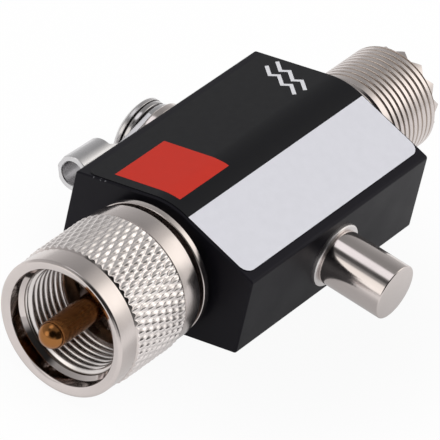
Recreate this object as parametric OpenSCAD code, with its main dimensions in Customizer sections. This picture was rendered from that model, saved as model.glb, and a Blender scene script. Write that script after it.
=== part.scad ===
// Inline coaxial lightning arrestor: a threaded plug, a hexagonal black body with a gas tube under a
// screw cap on one side and a ground terminal on the other, and a threaded jack.
// X runs along the connector axis from plug to jack, Z is up, and the cap points to -Y.
// The origin is on the connector axis in the mating plane of the plug.

/* [Body] */
// Length of the body along the connector axis
body_l = 40.9; // [38:0.1:60]
// Width of the body from the cap side to the ground side
body_w = 30.3; // [29:0.1:40]
// Height of each upright side wall
wall_h = 12.5; // [11:0.1:16]
// Slope of the roof and floor faces in degrees
roof_tilt = 15.5; // [14:0.5:20]
// Rounding of the four long edges
edge_r = 0.5; // [0.2:0.1:1.5]
// Radius of the bore round the line
line_bore_r = 5; // [4.4:0.1:5.4]
// Impedance of the line in ohms
line_ohms = 50; // [45:1:55]

/* [Label] */
// Thickness of the foil label
label_t = 0.12; // [0.06:0.01:0.3]
// Bare margin between the label and each body end
label_end_margin = 0.4; // [0.2:0.1:3]
// Bare margin between the label and each long edge, seen from above
label_side_margin = 1.4; // [0.8:0.1:4]
// Corner radius of the label
label_corner_r = 1.5; // [0.5:0.1:4]

/* [Plug] */
// Distance from the mating plane to the body
plug_reach = 9.35; // [8.8:0.05:14]
// Radius of the centre pin
pin_r = 1.98; // [1.8:0.01:2.2]
// Length of the pin ahead of the mating plane
pin_reach = 14.9; // [12:0.1:18]
// Outside radius of the plug shell
shell_r = 6.4; // [6.1:0.05:6.6]
// Radius of the shoulder that holds the nut
shoulder_r = 7.1; // [6.9:0.05:7.3]
// Start of the shoulder behind the mating plane
shoulder_x = 1.4; // [1.2:0.1:2]
// Length of the shoulder
shoulder_l = 1.6; // [1:0.1:2]
// Depth of the serrations in the shell's front edge
plug_tooth_h = 0.8; // [0.4:0.1:1]
// Length of each connector's tail inside the body
tail_l = 8; // [5:0.5:10]
// Depth of each insulator's face below its rim
face_recess = 1.8; // [1:0.1:3]
// Radius of the spigots that join the line's pieces
spigot_r = 1.2; // [0.8:0.1:1.4]
// Length of those spigots
spigot_l = 3; // [2:0.5:4]

/* [Coupling nut] */
// Length of the nut
nut_l = 17.5; // [17:0.1:18]
// Reach of the nut ahead of the mating plane
nut_reach = 11.6; // [11.2:0.1:12]
// Radius of the plain bands
nut_band_r = 10.1; // [9.6:0.05:10.4]
// Height of the grip zone above the bands
grip_h = 0.3; // [0.1:0.05:0.6]
// Start of the grip zone behind the nut's front
grip_x = 3.55; // [2.5:0.05:4]
// Length of the grip zone
grip_l = 10.7; // [8:0.1:11.5]
// Number of grooves in each of the grip's two crossing sets
grip_grooves = 24; // [12:1:30]
// Slant of those grooves against the axis in degrees
grip_slant = 21.5; // [10:0.5:23]
// Depth of those grooves in the middle of the grip
grip_depth = 0.55; // [0.3:0.05:0.6]
// Rounding of the front rim
rim_round = 0.35; // [0.2:0.05:0.6]
// Depth of the dished ring between the front rim and the mouth
lip_depth = 0.45; // [0.2:0.05:0.8]
// Wall round the mouth
mouth_wall = 1.5; // [1.3:0.05:2]
// Depth of the mouth
mouth_depth = 2.2; // [1.5:0.1:3]
// Radius over the tips of the inside thread
nut_thread_r = 7.45; // [7.4:0.01:7.6]
// Length of the inside thread
nut_thread_l = 7.2; // [5:0.1:7.5]
// Wall round the relief behind the thread
relief_wall = 1.8; // [1.3:0.05:2.4]
// Thickness of the rear wall that runs on the shell
nut_wall = 2.4; // [1.5:0.1:2.6]

/* [Collar] */
// Radius of the collar
collar_r = 9.9; // [9:0.1:10]
// Thickness of the collar
collar_t = 1.05; // [0.8:0.05:1.4]
// Edge chamfer of the collar
collar_edge = 0.2; // [0.1:0.05:0.3]
// Radius of the hub between collar and body
hub_r = 8.2; // [7.5:0.1:9]
// Length of that hub
hub_l = 1.3; // [0.8:0.1:1.5]

/* [Jack] */
// Radius over the jack's thread
jack_r = 7.94; // [7.6:0.01:8.2]
// Plain length at the foot of the jack
jack_base_l = 3.3; // [1:0.1:4]
// Length of the thread
jack_thread_l = 10.5; // [8:0.1:14]
// Pitch of the coupling thread
thread_pitch = 1.058; // [0.9:0.001:1.3]
// Depth of the jack's thread
jack_thread_h = 0.5; // [0.2:0.05:0.55]
// Radius of the toothed rim
jack_rim_r = 7.05; // [6.9:0.05:7.4]
// Length of the taper from thread to rim
jack_taper_l = 0.8; // [0.4:0.1:1.5]
// Number of teeth in the rim
rim_teeth = 14; // [8:1:20]
// Height of the teeth
jack_tooth_h = 1.32; // [0.6:0.02:1.6]
// Turn of the teeth about the axis in degrees
tooth_phase = -16.3; // [-30:0.1:30]
// Radius of the bore behind the rim
jack_bore_r = 6.1; // [5.8:0.05:6.4]
// Wall left behind that bore at the foot of the jack
jack_web = 2; // [1.5:0.1:3]
// Outside radius of the contact
contact_r = 2.9; // [2.6:0.05:3.2]
// Radius of the contact's socket
socket_r = 2; // [1.9:0.01:2.2]
// Depth of the socket
socket_l = 11; // [8:0.5:12]
// Number of slots in the contact
contact_slots = 4; // [2:1:6]
// Width of those slots
slot_w = 0.5; // [0.3:0.05:0.6]
// Length of those slots
slot_l = 7; // [4:0.5:8]
// Lead-in chamfer of the socket
lead_in = 0.3; // [0.1:0.05:0.5]

/* [Gas tube] */
// Radius of the tube's electrodes
tube_r = 2.75; // [2.4:0.05:2.85]
// Length of the tube
tube_l = 6; // [5:0.1:7]
// Length of each electrode
electrode_l = 1.4; // [1:0.1:1.8]
// Radius of the ceramic between the electrodes
ceramic_r = 2.6; // [2:0.05:2.7]
// Distance from the axis to the face that the tube stands on
post_reach = 9.4; // [7.5:0.1:10]
// Radius of the post's stem
post_r = 1.5; // [1.2:0.05:1.6]
// Radius of the post's head
post_head_r = 2.2; // [1.8:0.05:2.6]
// Thickness of the post's head
post_head_t = 1.2; // [0.8:0.1:2]
// Radius of the post's spigot in the line
post_spigot_r = 0.8; // [0.5:0.05:1]
// Outside radius of the spring
spring_r = 2.5; // [2:0.05:2.8]
// Wire diameter of the spring
spring_wire = 0.5; // [0.3:0.05:0.7]
// Number of turns of the spring
spring_turns = 7; // [5:1:9]

/* [Cap] */
// Radius of the cap
cap_r = 4.1; // [3.9:0.05:4.4]
// Reach of the cap from the side wall
cap_reach = 10.55; // [9:0.05:14]
// Edge chamfer of the cap
cap_edge = 0.2; // [0.1:0.05:0.5]
// Radius of the cap's threaded skirt
skirt_r = 3.5; // [3.3:0.05:3.7]
// Length of that skirt
skirt_l = 5.25; // [4.5:0.05:5.5]
// Radius inside the cap
cap_bore_r = 2.95; // [2.9:0.01:3.1]
// Thickness of the cap's end
cap_end_t = 1.5; // [1:0.1:3]
// Radius of the bush's flange
flange_r = 4.81; // [4.7:0.01:5.6]
// Thickness of that flange
flange_t = 0.6; // [0.4:0.05:1]
// Edge chamfer of that flange
flange_edge = 0.25; // [0.1:0.05:0.35]
// Radius of the bush inside the body
bush_r = 4.5; // [4.2:0.05:4.65]
// Length of the bush inside the body
bush_l = 4; // [3:0.1:4.5]

/* [Ground terminal] */
// Radius of the screw
screw_r = 2.5; // [2.3:0.05:2.55]
// Length of the screw under its head
screw_l = 10; // [8:0.5:10.5]
// Radius of the screw's head
head_r = 5.15; // [4.2:0.05:5.5]
// Height of the head
head_h = 2.2; // [1.8:0.1:3]
// Upright edge of the head
head_edge = 0.65; // [0.4:0.05:0.9]
// Width of the arms of the cross recess
recess_w = 1.2; // [0.8:0.1:1.5]
// Span of the cross recess
recess_span = 5; // [3:0.1:5.5]
// Depth of the cross recess
recess_depth = 1.4; // [1:0.1:1.6]
// Radius of the flat washer
washer_r = 6; // [4.5:0.05:6.2]
// Thickness of the flat washer
washer_t = 1.25; // [0.6:0.05:1.6]
// Edge chamfer of the flat washer
washer_edge = 0.3; // [0.1:0.05:0.4]
// Radius of the holes that the screw passes
stud_hole_r = 2.65; // [2.6:0.01:2.8]
// Outside radius of the spring washer
split_r = 5.1; // [4:0.05:5.4]
// Thickness of the spring washer
split_t = 0.75; // [0.6:0.05:1.4]
// Rise of the spring washer from end to end
split_rise = 0.6; // [0.2:0.05:1]
// Opening of the spring washer's split in degrees
split_gap = 9; // [4:1:20]
// Sheet thickness of the ring terminal
sheet_t = 0.85; // [0.6:0.05:1]
// Radius of the terminal's ring
tongue_r = 5.3; // [4.4:0.05:5.6]
// Inside radius of the wire barrel
barrel_r = 1.8; // [1.5:0.05:2.2]
// Length of the wire barrel
barrel_l = 6.6; // [5:0.1:9]
// Distance from the screw's axis to the barrel
barrel_start = 8.5; // [8.2:0.1:10]
// Length over which the sheet curls up into the barrel
curl_l = 1.7; // [1.2:0.1:1.9]
// Height of that curl above the sheet, where it meets the barrel's end
curl_h = 0.7; // [0.3:0.05:1]
// Distance from the screw's axis to the start of the neck
neck_start = 1.6; // [0.5:0.1:2.5]
// Width of the neck at the barrel
neck_w = 4.3; // [3.4:0.1:4.6]
// Drop of the barrel below the ring's underside
barrel_drop = 0.3; // [0.1:0.05:0.4]
// Turn of the terminal about the screw in degrees
terminal_turn = 2; // [-10:0.5:10]

/* [Fits] */
// Radial clearance of threads
thread_gap = 0.05; // [0.02:0.01:0.1]
// Radial clearance of the nut on the shell
running_gap = 0.08; // [0.02:0.01:0.1]
// Free length ahead of a threaded tip
tip_gap = 1; // [0.5:0.1:1.5]
// Radial room round the cap's skirt inside the body
skirt_room = 0.3; // [0.1:0.05:0.4]

/* [Hidden] */
$fn = 96;

nickel = [0.78, 0.75, 0.73];
polished = [0.72, 0.69, 0.68];
black = [0.13, 0.13, 0.15];
silver = [0.82, 0.82, 0.85];
gold = [0.62, 0.42, 0.18];
brass = [0.72, 0.58, 0.3];
white = [0.92, 0.91, 0.88];
brown = [0.32, 0.18, 0.1];
tin = [0.75, 0.76, 0.78];
steel = [0.6, 0.6, 0.62];

// A cut runs this far past the face that it opens
over = 1;

// Metal left between the grip's grooves and the core that carries the grip
grip_floor = 0.25;
// Half the angle between the flanks of the thread
thread_flank = 30;

// Ohms of an air line whose bore is e times as wide as its conductor
air_line_ohms = 60;

// Body along X
body_x0 = plug_reach;
body_x1 = body_x0 + body_l;
body_xc = (body_x0 + body_x1) / 2;
line_x0 = body_x0 + tail_l;
line_x1 = body_x1 - tail_l;
conductor_r = line_bore_r / exp(line_ohms / air_line_ohms);

// Section of the body: the ridge is tangent to both roof faces
side = body_w / 2;
ridge_r = side * sin(roof_tilt) + wall_h / 2 * cos(roof_tilt);
edge_y = side - edge_r;
edge_z = (ridge_r - edge_r - edge_y * sin(roof_tilt)) / cos(roof_tilt);

// Coupling nut along X
nut_x0 = -nut_reach;
nut_x1 = nut_x0 + nut_l;
grip_r = nut_band_r + grip_h;
mouth_r = nut_band_r - mouth_wall;
relief_r = nut_band_r - relief_wall;
grip_x0 = nut_x0 + grip_x;
grip_x1 = grip_x0 + grip_l;
grip_core_r = grip_r - grip_depth - grip_floor;
mouth_x1 = nut_x0 + mouth_depth;
thread_x0 = mouth_x1 + mouth_r - nut_thread_r;
thread_x1 = thread_x0 + nut_thread_l;
wall_x0 = nut_x1 - nut_wall;

// Jack along X
jack_thread_x1 = body_x1 + jack_base_l + jack_thread_l;
jack_valley_x = jack_thread_x1 + jack_taper_l;
jack_x1 = jack_valley_x + jack_tooth_h;
jack_face_x = jack_x1 - face_recess;
socket_x0 = jack_face_x - socket_l;

// Distances from the axis towards the cap
post_seat = sqrt(conductor_r * conductor_r - post_r * post_r);
tube_d1 = post_reach + tube_l;
cap_seat = side + flange_t;
cap_d1 = side + cap_reach;
cap_floor = cap_d1 - cap_end_t;
chamber_r = skirt_r + skirt_room;

// Distances from the axis towards the ground terminal
tongue_d = side + washer_t;
split_d = tongue_d + sheet_t;
head_d = split_d + split_t + split_rise;
screw_hole_d = head_d - screw_l - tip_gap;
barrel_out = barrel_r + sheet_t;
barrel_d = tongue_d + barrel_out - barrel_drop;

// A solid turned about the X axis, from points [radius, x]
module turned_x(profile) {
    rotate([0, 90, 0])
        rotate_extrude()
            polygon(profile);
}

// A plain cylinder along X
module rod_x(r, x0, x1) {
    translate([x0, 0, 0])
        rotate([0, 90, 0])
            cylinder(r = r, h = x1 - x0);
}

// Local Z points out of the body's side wall: +1 is the ground side, -1 the cap side
module outward(way) {
    translate([body_xc, 0, 0])
        rotate([-90 * way, 0, 0])
            children();
}

// A drawing in Y and Z, drawn out along X
module prism_x(x0, x1) {
    translate([x0, 0, 0])
        rotate([90, 0, 90])
            linear_extrude(x1 - x0)
                children();
}

// A closed skin through rings of points that each have the same number of points
module skin(rings) {
    n = len(rings[0]);
    last = len(rings) - 1;
    sides = [
        for (i = [0 : last - 1], k = [0 : n - 1])
            [i * n + k, i * n + (k + 1) % n, (i + 1) * n + (k + 1) % n, (i + 1) * n + k]
    ];
    start = [for (k = [n - 1 : -1 : 0]) k];
    end = [for (k = [0 : n - 1]) last * n + k];
    polyhedron([for (ring = rings) each ring], concat([start], sides, [end]));
}

// V notches round a rim, from a valley to the tips between them
module rim_notches(valley_x, tip_x, r) {
    half = r * tan(180 / rim_teeth);
    deep = tip_x - valley_x;
    for (i = [0 : rim_teeth - 1])
        rotate([tooth_phase + i * 360 / rim_teeth, 0, 0])
            rotate([0, 0, -90])
                linear_extrude(r + over)
                    polygon([
                        [0, valley_x],
                        [2 * half, valley_x + 2 * deep],
                        [-2 * half, valley_x + 2 * deep]
                    ]);
}

// Outline of the body, grown outwards by a skin's thickness
module body_section(grow = 0) {
    quarter = [
        [side + grow, edge_z],
        [edge_y + (edge_r + grow) * sin(roof_tilt), edge_z + (edge_r + grow) * cos(roof_tilt)],
        [(ridge_r + grow) * sin(roof_tilt), (ridge_r + grow) * cos(roof_tilt)]
    ];
    polygon(concat(
        quarter,
        [for (i = [2 : -1 : 0]) [-quarter[i].x, quarter[i].y]],
        [for (p = quarter) -p],
        [for (i = [2 : -1 : 0]) [quarter[i].x, -quarter[i].y]]
    ));
    circle(ridge_r + grow);
    for (y = [-edge_y, edge_y], z = [-edge_z, edge_z])
        translate([y, z])
            circle(edge_r + grow);
}

module body() {
    color(black)
        difference() {
            prism_x(body_x0, body_x1)
                body_section();
            rod_x(line_bore_r, body_x0 - over, body_x1 + over);
            rod_x(shell_r, body_x0 - over, line_x0);
            rod_x(shell_r, line_x1, body_x1 + over);
            outward(-1) {
                cylinder(r = chamber_r, h = side - bush_l + over);
                translate([0, 0, side - bush_l])
                    cylinder(r = bush_r, h = bush_l + over);
            }
            outward(1)
                translate([0, 0, screw_hole_d])
                    cylinder(r = screw_r + thread_gap, h = side - screw_hole_d + over);
        }
}

// Plan of the label with four round corners
module label_plan() {
    x0 = body_x0 + label_end_margin;
    x1 = body_x1 - label_end_margin;
    y1 = side - label_side_margin;
    translate([x0 + label_corner_r, -y1])
        square([x1 - x0 - 2 * label_corner_r, 2 * y1]);
    translate([x0, label_corner_r - y1])
        square([x1 - x0, 2 * (y1 - label_corner_r)]);
    for (x = [x0 + label_corner_r, x1 - label_corner_r], y = [label_corner_r - y1, y1 - label_corner_r])
        translate([x, y])
            circle(label_corner_r);
}

module label() {
    color(silver)
        intersection() {
            prism_x(body_x0, body_x1)
                difference() {
                    body_section(label_t);
                    body_section();
                }
            linear_extrude(ridge_r + label_t + over)
                label_plan();
        }
}

module plug_shell() {
    color(nickel)
        difference() {
            turned_x([
                [line_bore_r, 0],
                [shell_r, 0],
                [shell_r, shoulder_x],
                [shoulder_r, shoulder_x],
                [shoulder_r, shoulder_x + shoulder_l],
                [shell_r, shoulder_x + shoulder_l],
                [shell_r, line_x0],
                [line_bore_r, line_x0]
            ]);
            rim_notches(plug_tooth_h, 0, shell_r);
        }
}

module plug_collar() {
    front = body_x0 - hub_l - collar_t;
    back = body_x0 - hub_l;
    color(nickel)
        turned_x([
            [shell_r, front],
            [collar_r - collar_edge, front],
            [collar_r, front + collar_edge],
            [collar_r, back - collar_edge],
            [collar_r - collar_edge, back],
            [hub_r, back],
            [hub_r, body_x0],
            [shell_r, body_x0]
        ]);
}

// Quarter round of the nut's front rim, as points [radius, x]
function rim_arc(steps) = [
    for (i = [0 : steps])
        [
            nut_band_r - rim_round + rim_round * sin(90 * i / steps),
            nut_x0 + rim_round - rim_round * cos(90 * i / steps)
        ]
];

// Grip of the nut: a ring crossed by two sets of slanted V grooves
module nut_grip() {
    length = grip_l / cos(grip_slant) + 2 * grip_r;
    difference() {
        turned_x([
            [grip_core_r - grip_floor, grip_x0],
            [grip_r, grip_x0],
            [grip_r, grip_x1],
            [grip_core_r - grip_floor, grip_x1]
        ]);
        for (i = [0 : grip_grooves - 1], slant = [-grip_slant, grip_slant])
            rotate([i * 360 / grip_grooves, 0, 0])
                translate([(grip_x0 + grip_x1) / 2, 0, grip_r - grip_depth])
                    rotate([0, 0, slant])
                        prism_x(-length / 2, length / 2)
                            polygon([[0, 0], [over, over], [-over, over]]);
    }
}

module coupling_nut() {
    color(nickel) {
        nut_grip();
        turned_x(concat(
            [[mouth_r, nut_x0 + lip_depth]],
            rim_arc(6),
            [
                [nut_band_r, grip_x0],
                [grip_core_r, grip_x0],
                [grip_core_r, grip_x1],
                [nut_band_r, grip_x1],
                [nut_band_r, nut_x1],
                [shell_r + running_gap, nut_x1],
                [shell_r + running_gap, wall_x0],
                [relief_r, wall_x0],
                [relief_r, thread_x1],
                [nut_thread_r, thread_x1],
                [nut_thread_r, thread_x0],
                [mouth_r, mouth_x1]
            ]
        ));
    }
}

module plug_insulator() {
    color(brown)
        turned_x([
            [pin_r, face_recess],
            [line_bore_r, face_recess],
            [line_bore_r, line_x0],
            [pin_r, line_x0]
        ]);
}

module centre_pin() {
    color(gold) {
        translate([pin_r - pin_reach, 0, 0])
            sphere(pin_r);
        rod_x(pin_r, pin_r - pin_reach, line_x0);
        rod_x(spigot_r, line_x0 - over, line_x0 + spigot_l);
    }
}

module line_conductor() {
    color(brass)
        difference() {
            rod_x(conductor_r, line_x0, line_x1);
            rod_x(spigot_r, line_x0 - over, line_x0 + spigot_l);
            rod_x(spigot_r, line_x1 - spigot_l, line_x1 + over);
            outward(-1) {
                cylinder(r = post_spigot_r, h = conductor_r + over);
                translate([-post_r, -conductor_r, post_seat])
                    cube([2 * post_r, 2 * conductor_r, conductor_r]);
            }
        }
}

module contact_post() {
    color(brass)
        outward(-1) {
            cylinder(r = post_spigot_r, h = post_seat + over);
            translate([0, 0, post_seat])
                cylinder(r = post_r, h = post_reach - post_seat);
            translate([0, 0, post_reach - post_head_t])
                cylinder(r = post_head_r, h = post_head_t);
        }
}

// Grooves of the jack's thread, as points [radius, x] of rings one pitch apart
function jack_grooves() =
    let (half = jack_thread_h * tan(thread_flank), rings = floor(jack_thread_l / thread_pitch))
    [
        for (i = [rings - 1 : -1 : 0])
            let (x = jack_thread_x1 - (i + 0.5) * thread_pitch)
            each [[jack_r, x - half], [jack_r - jack_thread_h, x], [jack_r, x + half]]
    ];

module jack_shell() {
    color(nickel)
        difference() {
            turned_x(concat(
                [
                    [line_bore_r, line_x1],
                    [shell_r, line_x1],
                    [shell_r, body_x1],
                    [jack_r, body_x1]
                ],
                jack_grooves(),
                [
                    [jack_r, jack_thread_x1],
                    [jack_rim_r, jack_valley_x],
                    [jack_rim_r, jack_x1],
                    [jack_bore_r, jack_x1],
                    [jack_bore_r, body_x1 + jack_web],
                    [line_bore_r, body_x1 + jack_web]
                ]
            ));
            rim_notches(jack_valley_x, jack_x1, jack_rim_r);
        }
}

module jack_insulator() {
    color(brown)
        turned_x([
            [contact_r, line_x1],
            [line_bore_r, line_x1],
            [line_bore_r, body_x1 + jack_web],
            [jack_bore_r, body_x1 + jack_web],
            [jack_bore_r, jack_face_x],
            [contact_r, jack_face_x]
        ]);
}

module jack_contact() {
    color(gold)
        difference() {
            union() {
                rod_x(contact_r, line_x1, jack_face_x);
                rod_x(spigot_r, line_x1 - spigot_l, line_x1 + over);
            }
            turned_x([
                [0, socket_x0],
                [socket_r, socket_x0],
                [socket_r, jack_face_x - lead_in],
                [socket_r + lead_in + over, jack_face_x + over],
                [0, jack_face_x + over]
            ]);
            for (i = [0 : contact_slots - 1])
                rotate([(i + 0.5) * 360 / contact_slots, 0, 0])
                    translate([jack_face_x - slot_l, -slot_w / 2, 0])
                        cube([slot_l + over, slot_w, contact_r + over]);
        }
}

// One disc of the gas tube, between two distances from the axis
module tube_disc(r, d0, d1) {
    outward(-1)
        translate([0, 0, d0])
            cylinder(r = r, h = d1 - d0);
}

module tube_inner_electrode() {
    color(steel)
        tube_disc(tube_r, post_reach, post_reach + electrode_l);
}

module tube_ceramic() {
    color(white)
        tube_disc(ceramic_r, post_reach + electrode_l, tube_d1 - electrode_l);
}

module tube_outer_electrode() {
    color(steel)
        tube_disc(tube_r, tube_d1 - electrode_l, tube_d1);
}

// Height of the spring's wire after some turns: one flat turn at each end, an even rise between
function spring_rise(turn) =
    let (free = cap_floor - tube_d1 - 3 * spring_wire, middle = spring_turns - 2)
    spring_wire * min(turn, 1)
    + free * min(max(turn - 1, 0) / middle, 1)
    + spring_wire * max(turn - 1 - middle, 0);

module contact_spring() {
    sides = 8;
    steps = 16;
    mean = spring_r - spring_wire / 2;
    low = tube_d1 + spring_wire / 2;
    rings = [
        for (i = [0 : spring_turns * steps])
            let (turn = i / steps, a = 360 * turn, z = low + spring_rise(turn))
            [
                for (k = [0 : sides - 1])
                    let (b = 360 * k / sides, r = mean + spring_wire / 2 * cos(b))
                    [r * cos(a), r * sin(a), z + spring_wire / 2 * sin(b)]
            ]
    ];
    color(steel)
        outward(-1)
            skin(rings);
}

module cap() {
    color(polished)
        outward(-1)
            rotate_extrude()
                polygon([
                    [0, cap_d1],
                    [cap_r - cap_edge, cap_d1],
                    [cap_r, cap_d1 - cap_edge],
                    [cap_r, cap_seat],
                    [skirt_r, cap_seat],
                    [skirt_r, cap_seat - skirt_l],
                    [cap_bore_r, cap_seat - skirt_l],
                    [cap_bore_r, cap_floor],
                    [0, cap_floor]
                ]);
}

module cap_bush() {
    inner = skirt_r + thread_gap;
    color(nickel)
        outward(-1)
            rotate_extrude()
                polygon([
                    [inner, side - bush_l],
                    [bush_r, side - bush_l],
                    [bush_r, side],
                    [flange_r, side],
                    [flange_r, cap_seat - flange_edge],
                    [flange_r - flange_edge, cap_seat],
                    [inner, cap_seat]
                ]);
}

// Dome of the screw's head, as points [radius, distance], on one arc from the edge to the crown
function head_dome(steps) =
    let (
        rise = head_h - head_edge,
        arc_r = (head_r * head_r + rise * rise) / (2 * rise),
        span = asin(head_r / arc_r)
    )
    [
        for (i = [0 : steps])
            let (a = span * (1 - i / steps))
            [arc_r * sin(a), head_d + head_h - arc_r + arc_r * cos(a)]
    ];

module ground_screw() {
    tip = head_d - screw_l;
    color(nickel)
        outward(1)
            difference() {
                rotate_extrude()
                    polygon(concat(
                        [
                            [0, tip],
                            [screw_r - lead_in, tip],
                            [screw_r, tip + lead_in],
                            [screw_r, head_d],
                            [head_r, head_d]
                        ],
                        head_dome(12)
                    ));
                translate([0, 0, head_d + head_h - recess_depth])
                    intersection() {
                        union()
                            for (a = [0, 90])
                                rotate(a)
                                    translate([-recess_span / 2, -recess_w / 2, 0])
                                        cube([recess_span, recess_w, recess_depth + over]);
                        cylinder(r1 = recess_w, r2 = recess_span / 2, h = recess_depth);
                    }
            }
}

module spring_washer() {
    steps = 40;
    rings = [
        for (i = [0 : steps])
            let (a = split_gap / 2 + (360 - split_gap) * i / steps, z = split_d + split_rise * i / steps)
            [
                for (p = [[stud_hole_r, 0], [split_r, 0], [split_r, split_t], [stud_hole_r, split_t]])
                    [p.x * cos(a), p.x * sin(a), z + p.y]
            ]
    ];
    color(steel)
        outward(1)
            skin(rings);
}

module flat_washer() {
    color(nickel)
        outward(1)
            rotate_extrude()
                polygon([
                    [stud_hole_r, side],
                    [washer_r, side],
                    [washer_r, tongue_d - washer_edge],
                    [washer_r - washer_edge, tongue_d],
                    [stud_hole_r, tongue_d]
                ]);
}

// Flat outline of the terminal: a ring whose neck narrows to the barrel
module tongue_plan() {
    neck_y = sqrt(tongue_r * tongue_r - neck_start * neck_start);
    circle(tongue_r);
    polygon([
        [-neck_start, neck_y],
        [-neck_start, -neck_y],
        [-barrel_start, -neck_w / 2],
        [-barrel_start, neck_w / 2]
    ]);
}

module ring_terminal() {
    far = -barrel_start - barrel_l;
    near = curl_l - barrel_start;
    color(tin)
        outward(1)
            rotate(terminal_turn)
                difference() {
                    union() {
                        translate([0, 0, tongue_d])
                            linear_extrude(sheet_t)
                                tongue_plan();
                        difference() {
                            translate([0, 0, barrel_d])
                                rod_x(barrel_out, far, near);
                            rotate([90, 0, 0])
                                translate([0, 0, -barrel_out - over])
                                    linear_extrude(2 * (barrel_out + over))
                                        polygon([
                                            [-barrel_start, barrel_d + barrel_out + over],
                                            [-barrel_start, split_d + curl_h],
                                            [near, split_d],
                                            [near + over, split_d],
                                            [near + over, barrel_d + barrel_out + over]
                                        ]);
                        }
                    }
                    translate([0, 0, barrel_d])
                        rod_x(barrel_r, far - over, near);
                    translate([0, 0, tongue_d - over])
                        cylinder(r = stud_hole_r, h = sheet_t + 2 * over);
                }
}

body();
label();
plug_shell();
plug_collar();
coupling_nut();
plug_insulator();
centre_pin();
line_conductor();
contact_post();
jack_shell();
jack_insulator();
jack_contact();
tube_inner_electrode();
tube_ceramic();
tube_outer_electrode();
contact_spring();
cap();
cap_bush();
ground_screw();
spring_washer();
flat_washer();
ring_terminal();
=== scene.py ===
"""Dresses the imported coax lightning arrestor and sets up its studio.

Lengths are in millimetres in the part's own frame, and turn into metres where a mesh is made.
X runs along the connector axis from plug to jack, Z is up, the cap points to -Y.
"""

import math

import bmesh
import bpy
import numpy as np
from mathutils import Matrix, Vector


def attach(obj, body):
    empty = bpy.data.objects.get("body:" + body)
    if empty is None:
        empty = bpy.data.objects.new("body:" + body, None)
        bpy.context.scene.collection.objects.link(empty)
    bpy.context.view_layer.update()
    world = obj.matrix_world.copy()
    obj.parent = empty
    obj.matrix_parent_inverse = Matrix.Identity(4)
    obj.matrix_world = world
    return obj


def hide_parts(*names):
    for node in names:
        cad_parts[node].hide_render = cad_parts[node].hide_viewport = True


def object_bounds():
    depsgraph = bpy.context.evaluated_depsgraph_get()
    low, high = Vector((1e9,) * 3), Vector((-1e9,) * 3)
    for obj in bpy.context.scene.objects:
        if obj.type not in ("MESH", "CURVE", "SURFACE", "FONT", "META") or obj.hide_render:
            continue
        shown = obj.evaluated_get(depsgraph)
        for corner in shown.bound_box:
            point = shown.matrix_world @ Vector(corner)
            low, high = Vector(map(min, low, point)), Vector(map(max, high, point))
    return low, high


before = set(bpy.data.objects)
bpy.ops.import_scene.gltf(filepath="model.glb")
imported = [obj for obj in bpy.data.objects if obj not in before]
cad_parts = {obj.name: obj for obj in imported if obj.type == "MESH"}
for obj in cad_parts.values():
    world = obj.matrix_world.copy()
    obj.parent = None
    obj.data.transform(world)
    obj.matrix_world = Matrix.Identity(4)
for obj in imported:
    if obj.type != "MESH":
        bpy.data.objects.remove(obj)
cad_low, cad_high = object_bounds()

MM = 0.001

# Body section, as in the CAD source
BODY_X0, BODY_X1 = 9.35, 50.25
BODY_XC = (BODY_X0 + BODY_X1) / 2
SIDE = 15.15
WALL_H = 12.5
TILT = math.radians(15.5)
EDGE_R = 0.5
RIDGE_R = SIDE * math.sin(TILT) + WALL_H / 2 * math.cos(TILT)
EDGE_Y = SIDE - EDGE_R
EDGE_Z = (RIDGE_R - EDGE_R - EDGE_Y * math.sin(TILT)) / math.cos(TILT)
LINE_X0, LINE_X1 = 17.35, 42.25
LINE_BORE_R, TAIL_R = 5.0, 6.4

# Lengths that pieces on the cap side and on the ground side share, outwards from the connector axis
CHAMBER_R = 3.8
BUSH_R, BUSH_DEEP, CAP_SEAT = 4.5, 11.15, 15.75
SCREW_HOLE_R, SCREW_HOLE_DEEP = 2.55, 7.6
CLAMP_HOLE_R, WASHER_TOP = 2.65, 16.4

# Unified fine thread of the coupling: 24 turns to the inch
COUPLING_PITCH = 25.4 / 24
CAP_PITCH = 0.75
SCREW_PITCH = 0.8


# Mesh helpers


def along_x(r, a, turn):
    """Round the connector axis: radius, place along X, angle from +Y towards +Z."""
    return a + 0 * turn, r * np.cos(turn), r * np.sin(turn)


def cap_side(r, a, turn):
    """Round the cap's axis: radius, distance from the connector axis towards -Y, angle."""
    return BODY_XC + r * np.cos(turn), -a + 0 * turn, r * np.sin(turn)


def ground_side(r, a, turn):
    """Round the screw's axis: radius, distance from the connector axis towards +Y, angle."""
    return BODY_XC + r * np.cos(turn), a + 0 * turn, -r * np.sin(turn)


def fillet(points, steps=5):
    """A polyline of (r, a) points, with an arc at each point that also gives a radius."""
    out = []
    for k, point in enumerate(points):
        here = np.array(point[:2], float)
        if len(point) == 2:
            out.append(here)
            continue
        before = np.array(points[k - 1][:2], float) - here
        after = np.array(points[(k + 1) % len(points)][:2], float) - here
        before /= np.linalg.norm(before)
        after /= np.linalg.norm(after)
        half = math.acos(np.clip(before @ after, -1, 1)) / 2
        middle = (before + after) / np.linalg.norm(before + after)
        centre = here + middle * point[2] / math.sin(half)
        start = here + before * point[2] / math.tan(half) - centre
        end = here + after * point[2] / math.tan(half) - centre
        for t in np.linspace(0, 1, steps + 1):
            spoke = start * (1 - t) + end * t
            out.append(centre + spoke / np.linalg.norm(spoke) * point[2])
    return np.array(out)


def grid_faces(rows, columns, closed_rows=False, closed_columns=True):
    """Quads of a grid of vertices, numbered row by row."""
    row_ids = np.arange(rows if closed_rows else rows - 1)
    column_ids = np.arange(columns if closed_columns else columns - 1)
    k, i = (ids.ravel() for ids in np.meshgrid(row_ids, column_ids, indexing="ij"))
    k1, i1 = (k + 1) % rows, (i + 1) % columns
    return np.stack([k * columns + i, k * columns + i1, k1 * columns + i1, k1 * columns + i], 1).tolist()


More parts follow.
